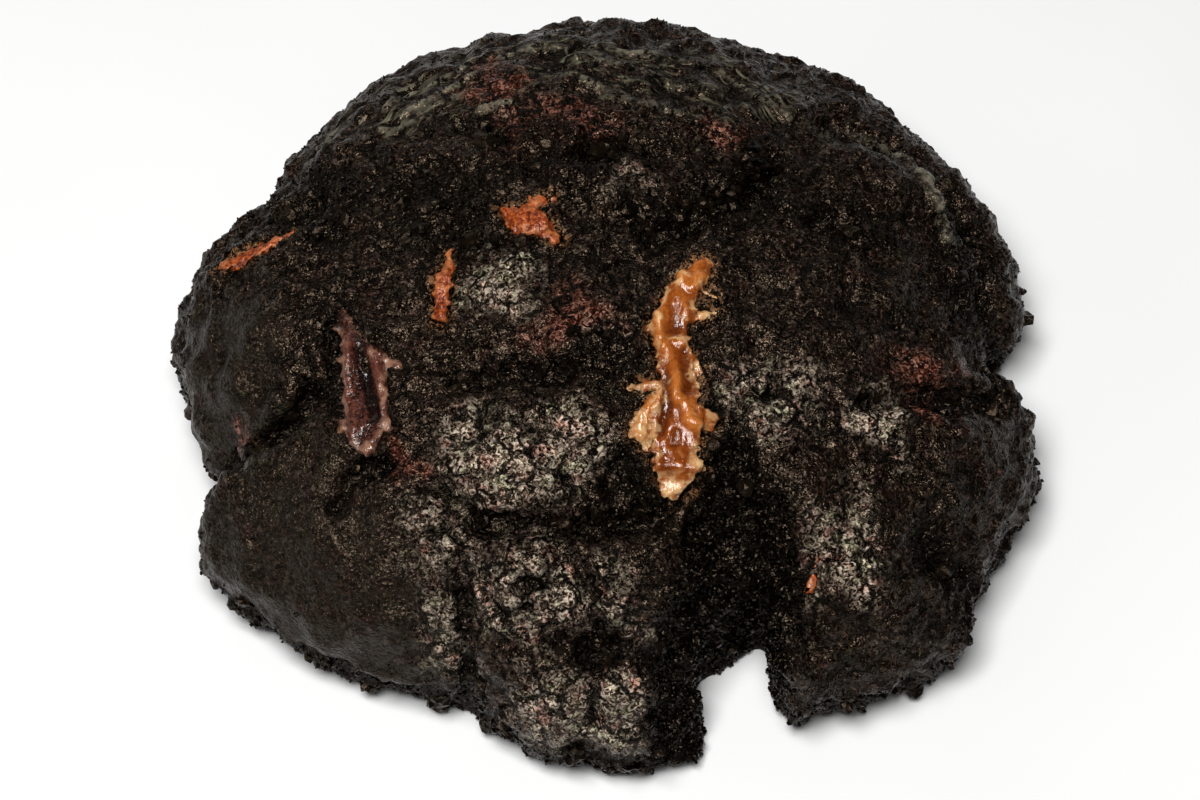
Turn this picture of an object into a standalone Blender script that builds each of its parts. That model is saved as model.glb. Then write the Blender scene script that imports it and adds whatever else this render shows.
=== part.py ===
"""A thick double chocolate chip cookie, nearly black, with milk chocolate chips that show.

Metres, +Z up. The origin is the middle of the underside. -Y is the front, where a piece has
broken away and the crumb shows. The cookie is one solid, and each chip is a solid in its pocket.
"""

import math

import bmesh
import bpy
from mathutils import Vector, noise
from mathutils.bvhtree import BVHTree

MM = 0.001

# The cookie before it is broken: a dome on a rounded rim.
DOME_RADIUS = 50.0 * MM
DOME_HEIGHT = 34.0 * MM
DOME_MIDDLE = Vector((0, -1)) * MM
RIM_HEIGHT = 8.0 * MM  # where the dome is widest
RIM_TUCK = 4.0 * MM  # how far the rim curls in below that
DOME_POWER = 0.9  # 1 is an ellipse, and less is squarer at the shoulder
SUMMIT_SHIFT = Vector((-1.0, 3.0)) * MM

# Lobes and dents of the outline: compass direction in degrees, reach in mm, half-spread in degrees.
OUTLINE_LOBES = (
    ("right rim", 20, 4.5, 14),
    ("right dent", 0, -4.8, 4),
    ("right front", 345, 4.5, 16),
    ("front right", 318, 5.5, 11),
    ("front corner", 278, 1.0, 9),
    ("front left flat", 246, -3.4, 16),
    ("left front lobe", 208, 5.0, 10),
    ("left dent", 196.5, -4.5, 3),
    ("left lobe", 171, 4.2, 12),
    ("left step", 154, -2.8, 5),
    ("back left", 128, 0.4, 16),
    ("back", 88, -0.9, 24),
    ("back right", 47, 3.0, 16),
)

# Broad mounds of the crust: plan place, spread and rise in mm.
MOUNDS = (
    ("left lobe", -42, -1, 8.5, 1.6),
    ("left front slab", -32, -32, 11, 1.8),
    ("middle left", -11, -22, 7.5, 2.2),
    ("middle front", -9, -38, 7, 2.0),
    ("middle front right", 3, -37, 5, 1.6),
    ("front foot", -5, -47, 7, 1.4),
    ("right plate", 27, -6, 13, 1.8),
    ("right front knob", 29, -36, 7, 2.0),
    ("right lobe", 40, -19, 8, 1.6),
    ("back cap", -1, 26, 14, 1.2),
    ("back right", 36, 17, 8, 1.4),
    ("middle back", -2, 12, 5.5, 1.2),
    ("middle", -8, -4, 6.5, 1.3),
)

# Valleys and cracks: plan path, half-width and depth in mm.
VALLEYS = (
    ("left split", ((-53, -17.5), (-45.5, -16.6), (-40.5, -16), (-37.3, -13.9), (-35.5, -12)), 1.8, 4.5),
    ("under the dark chip", ((-31.5, -26.5), (-29.6, -23.5), (-25.7, -22.6)), 1.3, 1.6),
    ("middle crack", ((-17, -14), (-11, -13.2), (-5, -13.4)), 1.6, 1.8),
    ("long valley", ((-19, -27.7), (-14.5, -30), (-7.5, -31.3), (-0.5, -31.5), (9, -30)), 1.9, 2.6),
    ("front crack", ((-16.7, -36), (-15.9, -41.5), (-16.8, -46.5)), 1.5, 2.6),
    ("foot crack", ((-6, -43), (-0.5, -44.2), (4.5, -43)), 1.5, 2.0),
    ("toe crack", ((-1.1, -44.7), (-1.5, -49)), 1.2, 1.6),
    ("knob crack", ((-3.4, -35), (-1.7, -38), (-0.5, -42)), 1.2, 1.6),
    ("back arc", ((6, 5.5), (10.3, 8.2), (16.4, 12), (21, 17)), 2.0, 2.0),
    ("plate edge", ((28, 27), (38, 25), (43.5, 19), (46.5, 11), (49.5, 1)), 2.0, 2.2),
    ("plate split", ((31.5, -14), (40, -12.3), (49, -8.5)), 1.6, 2.6),
    ("beside the dark chip", ((-32.4, -4.5), (-31.6, -15)), 1.3, 1.5),
    ("hollow by the knob", ((22, -33), (24, -37), (24.5, -41)), 1.6, 1.4),
)

# Pits of the crust: plan place, spread and depth in mm.
PITS = (
    ("back pit", -1, 17, 2.4, 1.6),
    ("plate pit", 27, 9, 3.0, 1.2),
    ("left pit", -36.5, 14, 2.6, 1.6),
    ("middle pit", 2, -26, 2.8, 1.4),
    ("right pit", 40.5, -30.5, 3.4, 2.4),
    ("rim pit", 46.5, -4, 2.2, 2.0),
    ("top left pit", -22, 16, 3.0, 1.0),
)

# Where the cookie has broken: the middle of the piece that is gone, as x, y, z, half-width and
# half-height in mm.
BREAKS = {
    "broken_hollow": (
        (14.6, -20, 32, 1.6, 1.5),
        (15.2, -24, 31.5, 4.0, 5.0),
        (16.0, -30, 29.5, 6.3, 8.5),
        (16.3, -36, 25.5, 7.4, 10.5),
        (14.8, -42, 20, 7.0, 12),
        (13.5, -50, 13, 7.0, 13),
        (13.5, -64, 6, 7.5, 15),
    ),
    "broken_bay": (
        (19.0, -33.4, 10, 0.9, 30),
        (17.8, -35.6, 10, 2.2, 30),
        (15.6, -38.5, 10, 4.5, 30),
        (16.6, -42, 10, 4.9, 30),
        (17.2, -47, 10, 5.4, 30),
        (17.6, -64, 10, 6.5, 30),
    ),
    "broken_ledge": (
        (11.5, -37, 27, 2.4, 6),
        (10.2, -41, 24, 4.0, 9),
        (9.4, -46, 19, 4.4, 11),
        (9.6, -53, 13, 4.8, 13),
        (10.0, -64, 6, 6.0, 15),
    ),
}

# Chips: their paths over the crust, as x, y and half-width in mm, then how deep they sit and how
# far they stand out.
CHIPS = {
    "chip_long": (
        (
            (11.8, 1.0, 0.9),
            (9.3, -3.5, 1.7),
            (8.1, -9.0, 2.1),
            (8.4, -13.7, 2.6),
            (7.8, -18.6, 3.5),
            (8.5, -22.6, 2.6),
            (8.4, -25.6, 0.9),
        ),
        3.4,
        0.6,
    ),
    "chip_back": (((-12.2, 7.7, 0.9), (-9.6, 7.2, 2.1), (-7.2, 7.5, 2.2), (-5.4, 7.7, 1.8)), 3.2, 0.5),
    "chip_slim": (((-18.8, 2.3, 0.6), (-19.3, -1.2, 1.0), (-19.7, -5.2, 1.0)), 2.8, 0.5),
    "chip_edge": (((-38.3, 9.3, 0.6), (-42.3, 8.4, 1.1), (-46.2, 7.5, 0.9)), 2.4, 0.5),
    "chip_dark": (
        (
            (-30.2, -4.8, 1.0),
            (-28.9, -8.6, 2.1),
            (-27.7, -13.8, 3.0),
            (-27.3, -18.6, 2.8),
            (-26.8, -21.4, 1.4),
        ),
        3.4,
        0.4,
    ),
    "chip_front": (((24.8, -33.2, 0.7), (24.2, -35.2, 1.2), (23.4, -37.0, 0.9)), 2.4, 0.4),
}

CRAG_SIZE = 5.0 * MM
CRAG_RISE = 0.9 * MM
CRUMB_SIZE = 2.4 * MM
CRUMB_RISE = 0.5 * MM
GAP = 0.35 * MM  # between a chip and its pocket

REMESH_VOXEL = 1.0 * MM
UNDERSIDE_LIMIT = 0.4 * MM  # what lies lower is flat on the ground
COOKIE_TRIANGLES = 9600
DOME_FINENESS = 6
LUMP_SIDES = 14
LUMP_STATIONS_PER_LEG = 3
TIP_SHARE = 0.6  # length of a lump's point, by the half-width of its last ring
SEED = 7

MATERIALS = {
    "baked_dough": ((0.030, 0.023, 0.018), 0.55),
    "milk_chocolate": ((0.27, 0.090, 0.028), 0.30),
    "dark_milk_chocolate": ((0.085, 0.032, 0.019), 0.28),
}


def clear_scene():
    for obj in list(bpy.data.objects):
        bpy.data.objects.remove(obj, do_unlink=True)


def make_material(name):
    colour, roughness = MATERIALS[name]
    material = bpy.data.materials.new(name)
    material.use_nodes = True
    shader = material.node_tree.nodes["Principled BSDF"]
    shader.inputs["Base Color"].default_value = (*colour, 1)
    shader.inputs["Roughness"].default_value = roughness
    shader.inputs["Metallic"].default_value = 0
    return material


def make_object(name, mesh, material=None):
    obj = bpy.data.objects.new(name, mesh)
    bpy.context.scene.collection.objects.link(obj)
    if material:
        mesh.materials.clear()
        mesh.materials.append(material)
    return obj


def smooth_step(low, high, value):
    share = min(1.0, max(0.0, (value - low) / (high - low)))
    return share * share * (3 - 2 * share)


# The dome


def outline_radius(turn):
    """The cookie's reach from its middle, in a compass direction in radians."""
    reach = DOME_RADIUS
    for _, direction, rise, spread in OUTLINE_LOBES:
        away = (math.degrees(turn) - direction + 180) % 360 - 180
        reach += rise * MM * math.exp(-((away / spread) ** 2))
    return reach


def dome_point(direction):
    """Where a point of the unit sphere lies on the dome, its curled rim and its flat underside."""
    turn = math.atan2(direction.y, direction.x)
    lean = math.acos(max(-1.0, min(1.0, direction.z)))
    widest, contact = math.radians(100), math.radians(130)
    if lean <= widest:
        angle = lean / widest * math.pi / 2
        share = math.sin(angle) ** DOME_POWER
        height = RIM_HEIGHT + (DOME_HEIGHT - RIM_HEIGHT) * max(0.0, math.cos(angle)) ** DOME_POWER
        inset = 0.0
    elif lean <= contact:
        angle = (lean - widest) / (contact - widest) * math.pi / 2
        share, inset = 1.0, RIM_TUCK * (1 - math.cos(angle))
        height = RIM_HEIGHT * (1 - math.sin(angle))
    else:
        share, inset, height = (math.pi - lean) / (math.pi - contact), RIM_TUCK, 0.0
    # The lobes belong to the rim, so they fade towards the middle.
    reach = DOME_RADIUS + (outline_radius(turn) - DOME_RADIUS) * share**4
    radius = (reach - inset) * share
    top = smooth_step(RIM_HEIGHT, DOME_HEIGHT, height)
    place = Vector((math.cos(turn), math.sin(turn))) * radius + DOME_MIDDLE + SUMMIT_SHIFT * top
    return Vector((place.x, place.y, height))


def make_dome():
    shape = bmesh.new()
    bmesh.ops.create_icosphere(shape, subdivisions=DOME_FINENESS, radius=1.0)
    for vertex in shape.verts:
        vertex.co = dome_point(vertex.co.normalized())
    mesh = bpy.data.meshes.new("dome")
    shape.to_mesh(mesh)
    shape.free()
    return mesh


# Lumps that follow a path: the chips, their pockets and the broken pieces


def along(stations, per_leg):
    """Points read from a smooth curve through the stations."""
    found = []
    last = len(stations) - 1
    for leg in range(last):
        before, here = stations[max(0, leg - 1)], stations[leg]
        there, after = stations[leg + 1], stations[min(last, leg + 2)]
        for step in range(per_leg):
            t = step / per_leg
            found.append(
                tuple(
                    0.5 * (2 * b + (c - a) * t + (2 * a - 5 * b + 4 * c - d) * t**2 + (3 * b - a - 3 * c + d) * t**3)
                    for a, b, c, d in zip(before, here, there, after)
                )
            )
    found.append(tuple(stations[last]))
    return found


def make_lump(name, stations, up, grow=0.0):
    """A closed lump round (centre, half-width, rise, depth) stations, with pointed ends.

    Every ring faces the same way, from the first station to the last, so none of them cross.
    """
    chord = stations[-1][0] - stations[0][0]
    ahead = (chord - up * chord.dot(up)).normalized()
    across = up.cross(ahead)
    shape = bmesh.new()
    rings = []
    for centre, half_width, rise, depth in stations:
        ring = []
        for side in range(LUMP_SIDES):
            angle = 2 * math.pi * side / LUMP_SIDES
            tall = rise if math.sin(angle) > 0 else depth
            reach = across * (half_width + grow) * math.cos(angle)
            ring.append(shape.verts.new(centre + reach + up * (tall + grow) * math.sin(angle)))
        rings.append(ring)
    for first, second in zip(rings, rings[1:]):
        for side in range(LUMP_SIDES):
            following = (side + 1) % LUMP_SIDES
            shape.faces.new((first[side], first[following], second[following], second[side]))
    for ring, outwards in ((rings[0], -ahead), (rings[-1], ahead)):
        middle = sum((vertex.co for vertex in ring), Vector()) / LUMP_SIDES
        half_width = (ring[0].co - ring[LUMP_SIDES // 2].co).length / 2
        tip = shape.verts.new(middle + outwards * (TIP_SHARE * half_width + grow))
        for side in range(LUMP_SIDES):
            shape.faces.new((ring[side], ring[(side + 1) % LUMP_SIDES], tip))
    bmesh.ops.recalc_face_normals(shape, faces=shape.faces)
    mesh = bpy.data.meshes.new(name)
    shape.to_mesh(mesh)
    shape.free()
    return mesh


def make_cutter(name, mesh):
    cutter = make_object(name, mesh)
    cutter.hide_render = True
    cutter.display_type = "WIRE"
    return cutter


def cut(body, cutter):
    modifier = body.modifiers.new(cutter.name, "BOOLEAN")
    modifier.operation = "DIFFERENCE"
    modifier.object = cutter
    modifier.solver = "EXACT"


def break_away(body):
    for name, stations in BREAKS.items():
        places = [
            (Vector((x, y, z)) * MM, half_width * MM, half_height * MM, half_height * MM)
            for x, y, z, half_width, half_height in along(stations, LUMP_STATIONS_PER_LEG)
        ]
        cut(body, make_cutter(name, make_lump(name, places, Vector((0, 0, 1)))))


# The relief of the crust


def path_distance(place, path):
    """How far a plan point is from a path of plan points."""
    nearest = 1.0
    for start, end in zip(path, path[1:]):
        leg = end - start
        share = min(1.0, max(0.0, (place - start).dot(leg) / leg.length_squared))
        nearest = min(nearest, (place - start - leg * share).length)
    return nearest


VALLEY_PATHS = [
    ([Vector(point) * MM for point in path], half_width * MM, depth * MM)
    for _, path, half_width, depth in VALLEYS
]


def relief(point):
    """How far the crust stands out of the dome at a point, mounds and crags less valleys."""
    place = point.to_2d()
    # Valleys wander a little, as cracks do.
    wander = noise.noise_vector(point / (6 * MM)).to_2d() * 1.0 * MM
    rise = 0.0
    for _, x, y, spread, height in MOUNDS:
        away = (place - Vector((x, y)) * MM).length / (spread * MM)
        rise += height * MM * math.exp(-(away**2))
    for _, x, y, spread, depth in PITS:
        away = (place - Vector((x, y)) * MM).length / (spread * MM)
        rise -= depth * MM * math.exp(-(away**2))
    for path, half_width, depth in VALLEY_PATHS:
        away = path_distance(place + wander, path) / half_width
        rise -= depth * math.exp(-(away**2))
    rise += CRAG_RISE * noise.noise(point / CRAG_SIZE)
    rise += CRUMB_RISE * (noise.turbulence(point / CRUMB_SIZE, 2, False) - 0.5)
    return rise


def raise_relief(mesh):
    normals = [vertex.normal.copy() for vertex in mesh.vertices]
    places = [vertex.co.copy() for vertex in mesh.vertices]
    for vertex, place, normal in zip(mesh.vertices, places, normals):
        share = smooth_step(0.3 * MM, 3.0 * MM, place.z)
        vertex.co = place + normal * relief(place) * share


def flatten_underside(mesh):
    for vertex in mesh.vertices:
        if vertex.co.z < UNDERSIDE_LIMIT:
            vertex.co.z = 0.0


def evaluated_mesh(obj):
    graph = bpy.context.evaluated_depsgraph_get()
    graph.update()
    return bpy.data.meshes.new_from_object(obj.evaluated_get(graph))


def make_cookie(material):
    dome = make_object("dome", make_dome())
    break_away(dome)
    remesh = dome.modifiers.new("even", "REMESH")
    remesh.mode = "VOXEL"
    remesh.voxel_size = REMESH_VOXEL
    mesh = evaluated_mesh(dome)
    bpy.data.objects.remove(dome)
    for name in BREAKS:
        bpy.data.objects.remove(bpy.data.objects[name])
    raise_relief(mesh)
    flatten_underside(mesh)
    fine = make_object("fine_dome", mesh)
    fewer = fine.modifiers.new("fewer", "DECIMATE")
    mesh.calc_loop_triangles()
    fewer.ratio = COOKIE_TRIANGLES / len(mesh.loop_triangles)
    light = evaluated_mesh(fine)
    bpy.data.objects.remove(fine)
    flatten_underside(light)
    return make_object("cookie", light, material)


# The chips


def chip_stations(chip, crust):
    """The chip's stations on the crust, and the way out of the crust there."""
    path, depth, rise = CHIPS[chip]
    stations = []
    up = Vector()
    for x, y, half_width in along(path, LUMP_STATIONS_PER_LEG):
        above = Vector((x * MM, y * MM, 2 * DOME_HEIGHT))
        place, normal = crust.ray_cast(above, Vector((0, 0, -1)))[:2]
        stations.append((place, half_width * MM, rise * MM, depth * MM))
        up += normal
    return stations, up.normalized()


def add_chips(cookie, materials):
    crust = BVHTree.FromObject(cookie, bpy.context.evaluated_depsgraph_get())
    for chip in CHIPS:
        stations, up = chip_stations(chip, crust)
        look = materials["dark_milk_chocolate" if chip == "chip_dark" else "milk_chocolate"]
        make_object(chip, make_lump(chip, stations, up), look)
        cut(cookie, make_cutter(chip + "_pocket", make_lump(chip + "_pocket", stations, up, GAP)))


def centre(pieces, body):
    """Puts the middle of the body's underside at the origin."""
    graph = bpy.context.evaluated_depsgraph_get()
    graph.update()
    corners = [Vector(corner) for corner in body.evaluated_get(graph).bound_box]
    low = [min(corner[axis] for corner in corners) for axis in range(2)]
    high = [max(corner[axis] for corner in corners) for axis in range(2)]
    shift = Vector((-(low[0] + high[0]) / 2, -(low[1] + high[1]) / 2, 0))
    for piece in pieces:
        piece.location += shift


def main():
    clear_scene()
    noise.seed_set(SEED)
    materials = {name: make_material(name) for name in MATERIALS}
    cookie = make_cookie(materials["baked_dough"])
    add_chips(cookie, materials)
    cookie.data.shade_smooth()
    centre(list(bpy.data.objects), cookie)


main()
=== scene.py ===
import math

import bmesh
import bpy
import numpy as np
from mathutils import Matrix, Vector, noise
from mathutils.bvhtree import BVHTree


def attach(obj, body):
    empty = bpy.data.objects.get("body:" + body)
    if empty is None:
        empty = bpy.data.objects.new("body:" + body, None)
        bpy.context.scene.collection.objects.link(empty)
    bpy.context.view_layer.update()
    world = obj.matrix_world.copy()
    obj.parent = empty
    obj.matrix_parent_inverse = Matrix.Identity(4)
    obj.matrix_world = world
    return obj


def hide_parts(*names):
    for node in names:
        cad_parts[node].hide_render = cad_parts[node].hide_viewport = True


MM = 0.001
SEED = 11

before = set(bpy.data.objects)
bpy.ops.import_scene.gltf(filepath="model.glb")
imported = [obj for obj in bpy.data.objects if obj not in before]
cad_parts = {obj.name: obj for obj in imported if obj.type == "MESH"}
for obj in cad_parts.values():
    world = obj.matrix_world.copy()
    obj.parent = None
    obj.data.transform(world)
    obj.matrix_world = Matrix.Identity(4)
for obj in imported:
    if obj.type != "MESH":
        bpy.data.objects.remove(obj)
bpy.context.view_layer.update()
noise.seed_set(SEED)

# The plan places below are counted from the middle of the baked dome, as in the part's own drawing.
PLAN_SHIFT = Vector((0.32, 1.65))

CRUST_VOXEL = 0.50 * MM
CHIP_VOXEL = 0.22 * MM
MERGE_REACH = 0.001 * MM
UNDERSIDE = 0.05 * MM  # what lies lower is flat on the table
OFF_TABLE = 0.3 * MM  # above this the crust gets its relief and its crumbs


# Mesh helpers


def shown_mesh(obj):
    graph = bpy.context.evaluated_depsgraph_get()
    graph.update()
    return bpy.data.meshes.new_from_object(obj.evaluated_get(graph))


def make_piece(name, mesh, material, node_names):
    piece = bpy.data.objects.new(name, mesh)
    bpy.context.scene.collection.objects.link(piece)
    mesh.materials.clear()
    mesh.materials.append(material)
    mesh.polygons.foreach_set("use_smooth", [True] * len(mesh.polygons))
    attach(piece, "root")
    if node_names:
        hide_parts(*node_names)
    return piece


def remeshed(mesh, voxel):
    holder = bpy.data.objects.new("remesh_holder", mesh)
    bpy.context.scene.collection.objects.link(holder)
    modifier = holder.modifiers.new("even", "REMESH")
    modifier.mode = "VOXEL"
    modifier.voxel_size = voxel
    result = shown_mesh(holder)
    bpy.data.objects.remove(holder)
    return result


def places_of(mesh):
    flat = np.empty(len(mesh.vertices) * 3)
    mesh.vertices.foreach_get("co", flat)
    return flat.reshape(-1, 3)


def normals_of(mesh):
    flat = np.empty(len(mesh.vertices) * 3)
    mesh.vertex_normals.foreach_get("vector", flat)
    return flat.reshape(-1, 3)


def set_places(mesh, places):
    mesh.vertices.foreach_set("co", np.ascontiguousarray(places).ravel())
    mesh.update()


def paint(mesh, name, values):
    layer = mesh.attributes.new(name, "FLOAT", "POINT")
    layer.data.foreach_set("value", np.ascontiguousarray(values, dtype=np.float32))


def step(low, high, values):
    share = np.clip((values - low) / (high - low), 0, 1)
    return share * share * (3 - 2 * share)


def grain_noise(places, size, offset=0.0):
    """Smooth noise from -1 to 1, with features of this size in mm."""
    scaled = places / (size * MM) + offset
    return np.array([noise.noise(Vector(place)) for place in scaled])


def cell_edges(places, size, offset):
    """How far each place is from the nearest line between cells, by the cells' size."""
    scaled = places / (size * MM) + offset
    found = np.empty(len(scaled))
    for index, place in enumerate(scaled):
        distances = noise.voronoi(Vector(place))[0]
        found[index] = distances[1] - distances[0]
    return found


# Zones of the crust, by plan place


def plan_mm(places):
    return places[:, :2] / MM - np.array(PLAN_SHIFT)


def spots(plan, marks):
    """The strongest of several soft round marks, each x, y, half-width and half-depth in mm."""
    strongest = np.zeros(len(plan))
    for x, y, wide, deep in marks:
        away = np.hypot((plan[:, 0] - x) / wide, (plan[:, 1] - y) / deep)
        strongest = np.maximum(strongest, 1 - step(0.45, 1.3, away))
    return strongest


def stroke_away(plan, stations):
    """The distance from a path less the path's half-width there, in mm."""
    nearest = np.full(len(plan), 1e3)
    for (x1, y1, wide1), (x2, y2, wide2) in zip(stations, stations[1:]):
        leg = np.array([x2 - x1, y2 - y1])
        share = np.clip(((plan - (x1, y1)) @ leg) / (leg @ leg), 0, 1)
        foot = np.array([x1, y1]) + share[:, None] * leg
        away = np.hypot(*(plan - foot).T) - (wide1 + share * (wide2 - wide1))
        nearest = np.minimum(nearest, away)
    return nearest


# Where the crumb lies bare: x, y and half-width in mm along each path
TORN = (
    (
        (14.6, -20.5, 1.0), (15.2, -24, 3.6), (16, -30, 6.0),
        (16.3, -36, 7.2), (14.8, -42, 7.0), (13.5, -52, 8.0),
    ),
    ((11.5, -37, 2.0), (10.2, -41, 3.8), (9.4, -46, 4.4), (9.6, -53, 5.0)),
)
# Dull, shiny, smooth, streaked, crumbly and reddish places: x, y, half-width and half-depth in mm
MATTE = ((-38, -31, 15, 14), (-46, -6, 8, 11), (-39, -14, 7, 5), (-26, -39, 7, 8))
# The shiny places get painted glints in the crust's colour.
GLISTEN = (
    (-10, -23, 11, 7),
    (-19, -31, 6, 7),
    (-8, -38, 13, 6.5),
    (-3, -50, 12, 4),
    (28, -33, 5.5, 7),
    (-12, -1, 5, 4),
    (-1, -9, 3, 3),
    (19, -15, 6, 6),
    (33, -17, 4, 4),
    (4, 12, 4, 3),
)
SMOOTH = ((27, -3, 13, 10), (44, -18, 7, 9), (36, 20, 7, 6), (-9, -4, 9, 5))
STREAKS = ((-12, 34, 15, 8), (8, 33, 14, 8), (-26, 28, 10, 7), (20, 29, 7, 5))
# The crumbly places get the dark crumb colour, partly as painted shade.
CRUMBLY_AND_SHADED = (
    (-34, 14, 8, 5),
    (-21, 13, 9, 4),
    (-6, 17, 11, 5),
    (9, 10, 8, 5),
    (18, 15, 7, 5),
    (0, -13, 8, 3),
    (45, 6, 4, 11),
    (43, -31, 5, 5),
    (3, -27, 5, 4),
    (-16, 6, 6, 4),
    (30, 10, 8, 3),
)
REDDISH = (
    (-13.5, 29.7, 5.5, 3.6),
    (-6, 21, 8, 6),
    (14, 22, 4, 3),
    (-4, -7, 6, 4),
    (38, -10, 6, 4),
    (-44, -15, 4, 2),
    (-24, -22, 3, 2),
)

# Pockets and creases, carved and painted dark as shade: how deep they are in mm, then x, y and half-width
# along each
POCKETS = (
    (
        1.0,
        (
            (-52, -17.3, 1.2), (-45.5, -16.6, 1.4), (-40.5, -16.0, 1.2),
            (-37.3, -13.9, 0.9), (-35.5, -11.5, 0.4),
        ),
    ),
    (1.2, ((-37.5, 14.2, 1.4), (-35.4, 14.8, 1.6))),
    (0.9, ((-32.4, -4.5, 0.3), (-32.1, -9.0, 0.8), (-31.4, -14.0, 0.5))),
    (0.8, ((6, 5.5, 1.6), (10.3, 8.2, 1.3), (16.4, 12, 1.1), (21, 17, 0.6))),
    (1.2, ((25.0, 9.0, 0.5), (27.5, 9.2, 1.2), (30.0, 9.6, 0.5))),
    (1.0, ((39.5, 6.8, 0.4), (42.5, 4.8, 0.9), (45.0, 2.5, 0.5))),
    (0.8, ((46.0, -1.0, 0.8), (47.0, -4.0, 1.2), (47.6, -7.0, 0.6))),
    (0.6, ((-17, -14, 0.4), (-11, -13.2, 0.8), (-5, -13.4, 0.4))),
    (0.8, ((-31.5, -26.5, 0.3), (-29.6, -23.5, 0.6), (-25.7, -22.6, 0.4))),
    (0.4, ((-16.7, -36, 0.2), (-15.9, -41.5, 0.5), (-16.8, -46.5, 0.6), (-16.9, -50, 0.4))),
    (0.6, ((-14.5, -30, 0.3), (-7.5, -31.3, 0.6), (-0.5, -31.3, 0.6), (5, -30, 0.4))),
    (0.9, ((1.0, -29.5, 0.6), (1.6, -26.0, 1.3), (2.6, -23.0, 0.6))),
    (0.6, ((-6, -43, 0.3), (-0.5, -44.2, 0.8), (4.5, -43, 0.5))),
    (0.5, ((-3.4, -35, 0.2), (-1.7, -38, 0.4), (-0.5, -42, 0.2))),
    (0.6, ((-1.1, -44.7, 0.2), (-1.5, -49, 0.3))),
    (1.0, ((38.0, -31.5, 1.0), (40.5, -30.5, 1.8), (43, -29.5, 1.0))),
    (1.0, ((-4.1, 15.8, 0.9), (0.7, 18.0, 1.5), (5.5, 17.7, 1.0))),
    (0.8, ((-17.4, 22.9, 0.8), (-14.5, 21.4, 1.2), (-11.5, 19.7, 0.8))),
    (0.7, ((-25, 15.4, 0.4), (-21, 16.4, 0.9), (-16, 15.8, 0.4))),
)
# Thin drawn folds of the back plate, the last where that plate ends, also painted pale as highlights: height
# in mm, then x, y and half-width along each
FOLDS = (
    (0.7, ((-27.1, 27.7, 0.1), (-21.7, 32.1, 0.3), (-16.7, 35.2, 0.3), (-13.0, 36.6, 0.1))),
    (0.6, ((-25.8, 25.7, 0.1), (-20.3, 29.3, 0.25), (-15.6, 32.3, 0.1))),
    (0.5, ((-22.7, 26.7, 0.1), (-19.0, 28.0, 0.2), (-16.3, 29.3, 0.1))),
    (0.7, ((-13.0, 35.3, 0.1), (-6.8, 36.7, 0.3), (0.0, 35.8, 0.3), (6.9, 35.1, 0.3), (11.9, 33.7, 0.1))),
    (0.5, ((-10.4, 31.6, 0.1), (-5.4, 30.6, 0.2), (-0.5, 27.7, 0.2), (4.4, 25.6, 0.1))),
    (0.5, ((-5.5, 32.7, 0.1), (1.9, 32.0, 0.2), (8.1, 30.0, 0.2), (12.4, 28.3, 0.1))),
    (0.4, ((-0.5, 26.0, 0.1), (5.6, 24.6, 0.2), (11.7, 23.1, 0.1))),
    (0.8, ((-15.8, 25.4, 0.1), (-13.4, 25.7, 0.35), (-11.2, 26.2, 0.1))),
    (0.5, ((-30.1, 24.6, 0.1), (-25.1, 24.5, 0.2), (-20.2, 25.9, 0.1))),
    (0.5, ((14.4, 32.7, 0.1), (19.2, 28.7, 0.25), (22.9, 25.7, 0.1))),
    (0.4, ((11.8, 29.6, 0.1), (16.1, 27.7, 0.2), (19.1, 24.3, 0.1))),
    (
        0.9,
        (
            (25.5, 24.6, 0.2), (30.6, 26.2, 0.35), (34.4, 25.8, 0.4),
            (37.8, 22.0, 0.4), (40.0, 16.5, 0.35), (42.0, 10.6, 0.2),
        ),
    ),
)


# Chips: x, y and half-width along each stroke

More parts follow.
